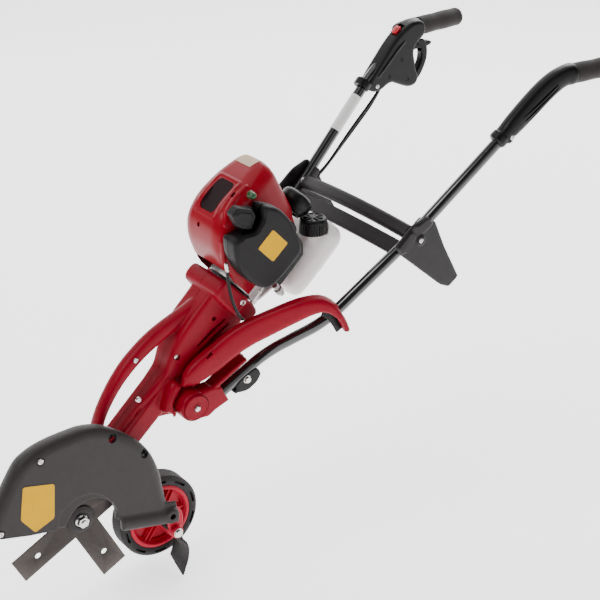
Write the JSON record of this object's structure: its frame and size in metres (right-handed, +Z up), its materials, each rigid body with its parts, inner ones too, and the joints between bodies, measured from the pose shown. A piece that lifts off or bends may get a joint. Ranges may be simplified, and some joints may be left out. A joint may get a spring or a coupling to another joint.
{
  "type": "lawn edger",
  "caption": "Petrol lawn edger: guarded four-armed edging blade on a shaft-driven gearbox, side ground wheel, small engine on a red moulded frame and a folding two-tube handlebar.",
  "frame": {"origin": "middle of the bottom of the whole edger's bounding box, at the tip of the rubber flap", "axes": "+X rearwards from the blade to the handle grips, -Y to the operator's left (the blade side), +Z up"},
  "size_m": [1.1139, 0.4388, 0.7791],
  "materials": {
    "red_moulding": "satin red moulded plastic",
    "gloss_red": "glossy red moulded plastic",
    "rim_red": "bright red moulded plastic",
    "warm_grey": "fine-grained dark warm grey plastic",
    "black_plastic": "satin black plastic",
    "black_enamel": "gloss black enamel",
    "grip_rubber": "matt brown-black rubber",
    "rubber": "matt black rubber",
    "tyre": "dark grey solid rubber",
    "bright_steel": "zinc-plated",
    "dark_steel": "dark heat-treated steel",
    "cast_aluminium": "as-cast",
    "tank_plastic": "translucent off-white plastic",
    "primer_green": "soft green bulb"
  },
  "bodies": {
    "chassis": {"chassis_left_shell": "red_moulding", "chassis_right_shell": "red_moulding", "left_support_arm": "red_moulding", "right_support_arm": "red_moulding", "gearbox_housing": "cast_aluminium", "gearbox_cover": "cast_aluminium", "drive_tube": "bright_steel", "guard_outer_shell": "warm_grey", "guard_back_plate": "warm_grey", "guard_screw_upper": "bright_steel", "guard_screw_lower": "bright_steel", "chassis_screw_upper": "bright_steel", "chassis_screw_lower": "bright_steel", "crankcase": "cast_aluminium", "engine_cover": "gloss_red", "recoil_housing": "black_plastic", "muffler": "dark_steel", "air_cleaner_case": "black_plastic", "carburetor": "cast_aluminium", "spark_plug_boot": "warm_grey", "primer_bulb": "primer_green", "fuel_tank": "tank_plastic", "engine_throttle_cable": "black_plastic", "cable_ferrule": "bright_steel", "fuel_fitting": "cast_aluminium", "pivot_bolt": "bright_steel", "wheel_arm_bolt": "black_plastic"},
    "air_cleaner_lid": {"air_cleaner_cover": "black_plastic"},
    "tank_cap": {"fuel_cap": "black_plastic"},
    "starter_handle": {"starter_grip": "black_plastic"},
    "crank": {"crankshaft": "bright_steel", "flywheel": "cast_aluminium", "clutch_shoes": "dark_steel"},
    "drive": {"clutch_drum": "dark_steel", "drive_shaft": "bright_steel"},
    "blade_set": {"blade_spindle": "bright_steel", "blade": "dark_steel", "blade_washer": "dark_steel", "blade_nut": "bright_steel"},
    "wheel_yoke": {"wheel_arm": "rim_red", "wheel_axle": "bright_steel"},
    "flap": {"rubber_flap": "rubber"},
    "ground_wheel": {"tyre": "tyre", "wheel_rim": "rim_red"},
    "handlebar": {"left_pivot_bracket": "red_moulding", "right_pivot_bracket": "red_moulding", "left_handle_tube": "black_enamel", "right_handle_tube": "black_enamel", "left_tube_clamp": "warm_grey", "right_tube_clamp": "warm_grey", "cross_brace": "warm_grey", "left_handle_moulding": "black_plastic", "left_grip": "grip_rubber", "throttle_housing": "black_plastic", "right_grip": "grip_rubber", "throttle_cable": "black_plastic", "stop_wire": "black_plastic"},
    "trigger": {"throttle_trigger": "black_plastic"},
    "switch": {"stop_switch": "rim_red"}
  },
  "joints": [
    {"name": "handlebar_fold", "type": "hinge", "parent": "chassis", "child": "handlebar", "pos_m": [-0.195, 0, 0.2996], "axis": [0, 1, 0], "range_deg": [0, 45]},
    {"name": "wheel_depth", "type": "hinge", "parent": "chassis", "child": "wheel_yoke", "pos_m": [-0.253, -0.04, 0.1246], "axis": [0, 1, 0], "range_deg": [-30, 10]},
    {"name": "wheel_spin", "type": "hinge", "parent": "wheel_yoke", "child": "ground_wheel", "pos_m": [-0.245, 0, 0.0906], "axis": [0, 1, 0], "continuous": true},
    {"name": "flap_swing", "type": "hinge", "parent": "wheel_yoke", "child": "flap", "pos_m": [-0.245, -0.04, 0.0906], "axis": [0, 1, 0], "range_deg": [-30, 40]},
    {"name": "blade_spin", "type": "hinge", "parent": "chassis", "child": "blade_set", "pos_m": [-0.404, 0, 0.1656], "axis": [0, -1, 0], "continuous": true},
    {"name": "drive_spin", "type": "hinge", "parent": "chassis", "child": "drive", "pos_m": [-0.404, 0, 0.1656], "axis": [0.7385, 0, 0.6743], "continuous": true},
    {"name": "crank_spin", "type": "hinge", "parent": "chassis", "child": "crank", "pos_m": [-0.07169, 0, 0.46904], "axis": [0.7385, 0, 0.6743], "continuous": true},
    {"name": "starter_pull", "type": "slide", "parent": "chassis", "child": "starter_handle", "axis": [0, 1, 0], "range_m": [0, 0.05]},
    {"name": "tank_cap_turn", "type": "hinge", "parent": "chassis", "child": "tank_cap", "pos_m": [0.063, -0.02, 0.5326], "axis": [0, 0, 1], "continuous": true},
    {"name": "air_cleaner_open", "type": "hinge", "parent": "chassis", "child": "air_cleaner_lid", "pos_m": [-0.03342, -0.0622, 0.50127], "axis": [0.7385, 0, 0.6743], "range_deg": [0, 80]},
    {"name": "throttle_pull", "type": "hinge", "parent": "handlebar", "child": "trigger", "pos_m": [0.417, 0.18, 0.7236], "axis": [0, 1, 0], "range_deg": [-6, 0], "stiffness_Nm_per_rad": 0.15, "springref_deg": 11.46},
    {"name": "stop_switch_slide", "type": "slide", "parent": "handlebar", "child": "switch", "axis": [0.8046, 0, 0.5938], "range_m": [0, 0.006]}
  ],
  "couplings": [
    {"joint": "drive_spin", "follows": "blade_spin", "ratio": 1.5}
  ]
}
